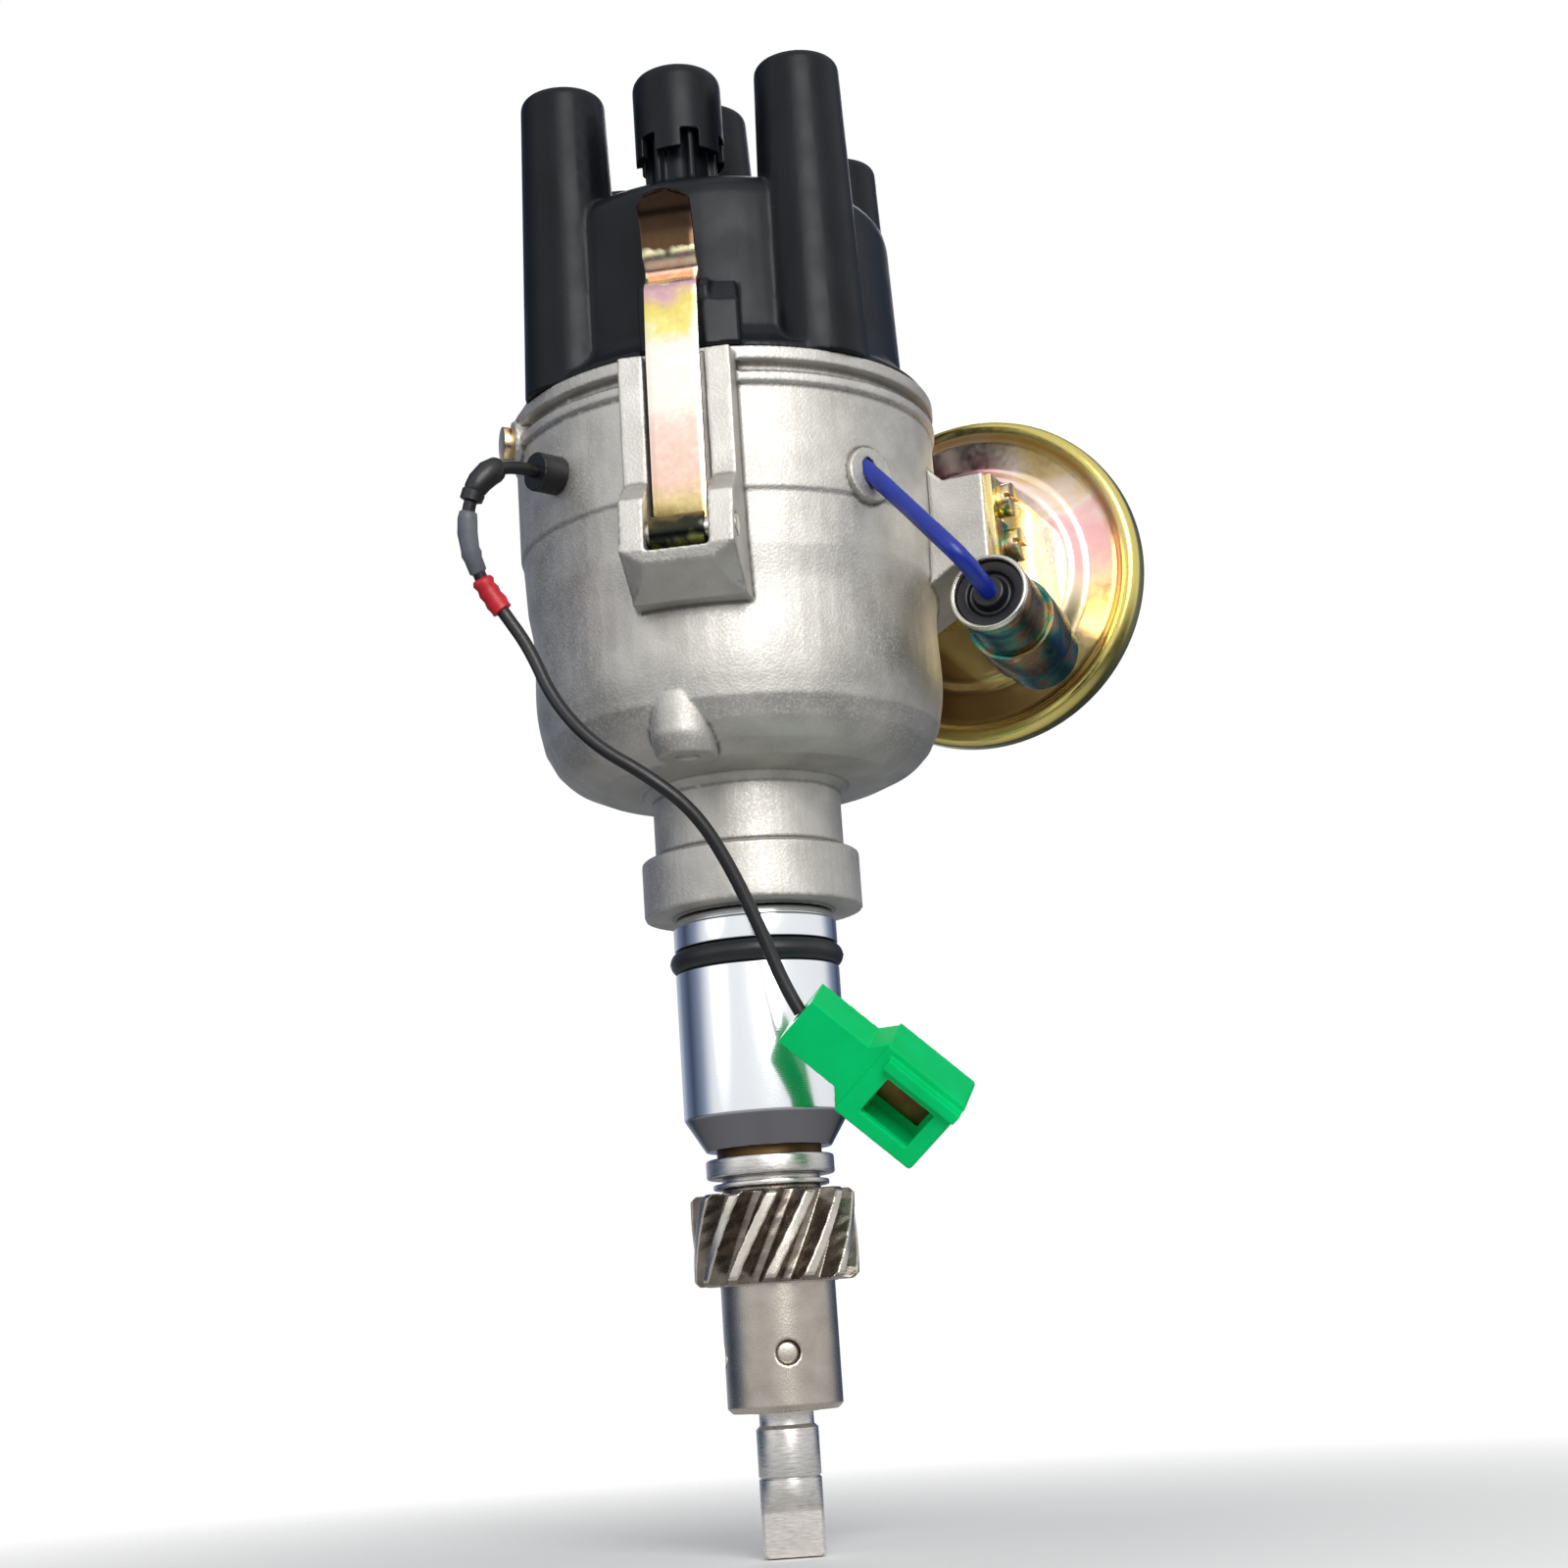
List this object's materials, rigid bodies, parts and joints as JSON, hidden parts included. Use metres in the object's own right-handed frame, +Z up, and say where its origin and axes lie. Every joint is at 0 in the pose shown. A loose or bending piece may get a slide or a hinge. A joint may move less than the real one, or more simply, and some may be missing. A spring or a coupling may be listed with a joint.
{
  "type": "ignition distributor",
  "caption": "Contact-breaker ignition distributor with vacuum advance, spring-clipped cap, helical drive gear and a short wired connector.",
  "frame": {"origin": "on the shaft axis at the clamping collar's underside", "axes": "+Z up along the shaft to the cap, -Y to the front clip, +X to the vacuum can"},
  "size_m": [0.1317, 0.1076, 0.2772],
  "materials": {
    "cast_aluminium": "as-cast, fine matte grain; barrel machined bright",
    "bronze": "sintered oil bronze",
    "seal_rubber": "moulded nitrile",
    "shaft_steel": "turned steel",
    "gear_steel": "hobbed steel, dark flanks and bright lands",
    "governor_steel": "pressed steel",
    "spring_steel": "drawn wire and strip",
    "felt": "oiled felt",
    "rotor_plastic": "moulded phenolic",
    "brass": "stamped brass",
    "plated_steel": "zinc plated",
    "fibre": "laminated fibre",
    "yellow_zinc": "yellow chromated zinc with rainbow tints",
    "condenser_zinc": "chromated zinc, green to teal tint, bright mouth",
    "seal_black": "moulded ebonite",
    "blue_insulation": "extruded vinyl",
    "cap_phenolic": "satin moulded phenolic",
    "carbon": "pressed carbon",
    "black_insulation": "extruded vinyl",
    "grey_sleeve": "shrunk sleeve",
    "red_sleeve": "vinyl sleeve",
    "green_nylon": "moulded nylon"
  },
  "bodies": {
    "root": {"housing": "cast_aluminium", "upper_bush": "bronze", "lower_bush": "bronze", "o_ring": "seal_rubber", "fixed_plate": "plated_steel", "plate_screws": "plated_steel", "can_front_shell": "yellow_zinc", "can_rear_shell": "yellow_zinc", "diaphragm": "seal_rubber", "diaphragm_spring": "spring_steel", "vacuum_bracket": "yellow_zinc", "bracket_screws": "yellow_zinc", "condenser_can": "condenser_zinc", "condenser_seal": "seal_black", "condenser_strap": "condenser_zinc", "condenser_lead": "blue_insulation", "clip_pins": "plated_steel", "cap": "cap_phenolic", "cap_gasket": "seal_rubber", "tower_terminals": "brass", "coil_terminal": "brass", "brush_spring": "spring_steel", "vent_cover": "cap_phenolic", "rim_screw": "yellow_zinc", "lead_grommet": "seal_black", "lead_wire": "black_insulation", "lead_boot": "black_insulation", "sleeve_grey": "grey_sleeve", "sleeve_red": "red_sleeve", "plug_housing": "green_nylon", "plug_terminal": "brass"},
    "shaft": {"drive_shaft": "shaft_steel", "drive_gear": "gear_steel", "gear_pin": "gear_steel", "thick_washer": "shaft_steel", "spacer_washer": "shaft_steel", "thin_washer": "shaft_steel", "governor_plate": "governor_steel", "governor_spring_a": "spring_steel", "governor_spring_b": "spring_steel"},
    "cam": {"cam": "governor_steel", "oil_felt": "felt", "rotor": "rotor_plastic", "rotor_blade": "brass"},
    "weight_a": {"governor_weight_a": "governor_steel"},
    "weight_b": {"governor_weight_b": "governor_steel"},
    "breaker_plate": {"breaker_plate": "plated_steel", "snap_ring": "governor_steel", "fixed_contact": "plated_steel", "contact_screw": "plated_steel", "terminal_block": "rotor_plastic", "breaker_spring": "spring_steel"},
    "breaker_lever": {"breaker_lever": "plated_steel", "lever_bush": "fibre", "rubbing_block": "fibre"},
    "vacuum_rod": {"vacuum_rod": "plated_steel", "diaphragm_cup": "plated_steel"},
    "front_clip": {"front_clip": "yellow_zinc"},
    "rear_clip": {"rear_clip": "yellow_zinc"},
    "brush": {"carbon_brush": "carbon"}
  },
  "joints": [
    {"name": "shaft_spin", "type": "hinge", "parent": "root", "child": "shaft", "pos_m": [0, 0, 0], "axis": [0, 0, -1], "continuous": true},
    {"name": "cam_advance", "type": "hinge", "parent": "shaft", "child": "cam", "pos_m": [0, 0, 0.06], "axis": [0, 0, -1], "range_deg": [0, 12], "stiffness_Nm_per_rad": 0.02, "deforming": ["governor_spring_a", "governor_spring_b"]},
    {"name": "weight_a_swing", "type": "hinge", "parent": "shaft", "child": "weight_a", "pos_m": [0.017, 0, 0.037], "axis": [0, 0, 1], "range_deg": [0, 14.4]},
    {"name": "weight_b_swing", "type": "hinge", "parent": "shaft", "child": "weight_b", "pos_m": [-0.017, 0, 0.037], "axis": [0, 0, 1], "range_deg": [0, 14.4]},
    {"name": "breaker_plate_swivel", "type": "hinge", "parent": "root", "child": "breaker_plate", "pos_m": [0, 0, 0.065], "axis": [0, 0, 1], "range_deg": [0, 8], "stiffness_Nm_per_rad": 0.1},
    {"name": "vacuum_rod_slide", "type": "slide", "parent": "root", "child": "vacuum_rod", "axis": [0.4067, 0.9135, 0], "range_m": [0, 0.0044], "deforming": ["diaphragm", "diaphragm_spring"]},
    {"name": "breaker_lever_swing", "type": "hinge", "parent": "breaker_plate", "child": "breaker_lever", "pos_m": [-0.02004, -0.00912, 0.075], "axis": [0, 0, -1], "range_deg": [0, 8], "stiffness_Nm_per_rad": 0.02, "springref_deg": -2.86, "deforming": ["breaker_spring"]},
    {"name": "brush_slide", "type": "slide", "parent": "root", "child": "brush", "axis": [0, 0, 1], "range_m": [0, 0.002], "stiffness_N_per_m": 60, "springref_m": -0.004, "deforming": ["brush_spring"]},
    {"name": "front_clip_swing", "type": "hinge", "parent": "root", "child": "front_clip", "pos_m": [-0.00867, -0.0468, 0.0604], "axis": [0.9833, -0.1822, 0], "range_deg": [0, 105]},
    {"name": "rear_clip_swing", "type": "hinge", "parent": "root", "child": "rear_clip", "pos_m": [0.00867, 0.0468, 0.0604], "axis": [-0.9833, 0.1822, 0], "range_deg": [0, 105]}
  ],
  "couplings": [
    {"joint": "weight_a_swing", "follows": "cam_advance", "ratio": 1.19},
    {"joint": "weight_b_swing", "follows": "cam_advance", "ratio": 1.19},
    {"joint": "vacuum_rod_slide", "follows": "breaker_plate_swivel", "m_per_rad": 0.031}
  ]
}
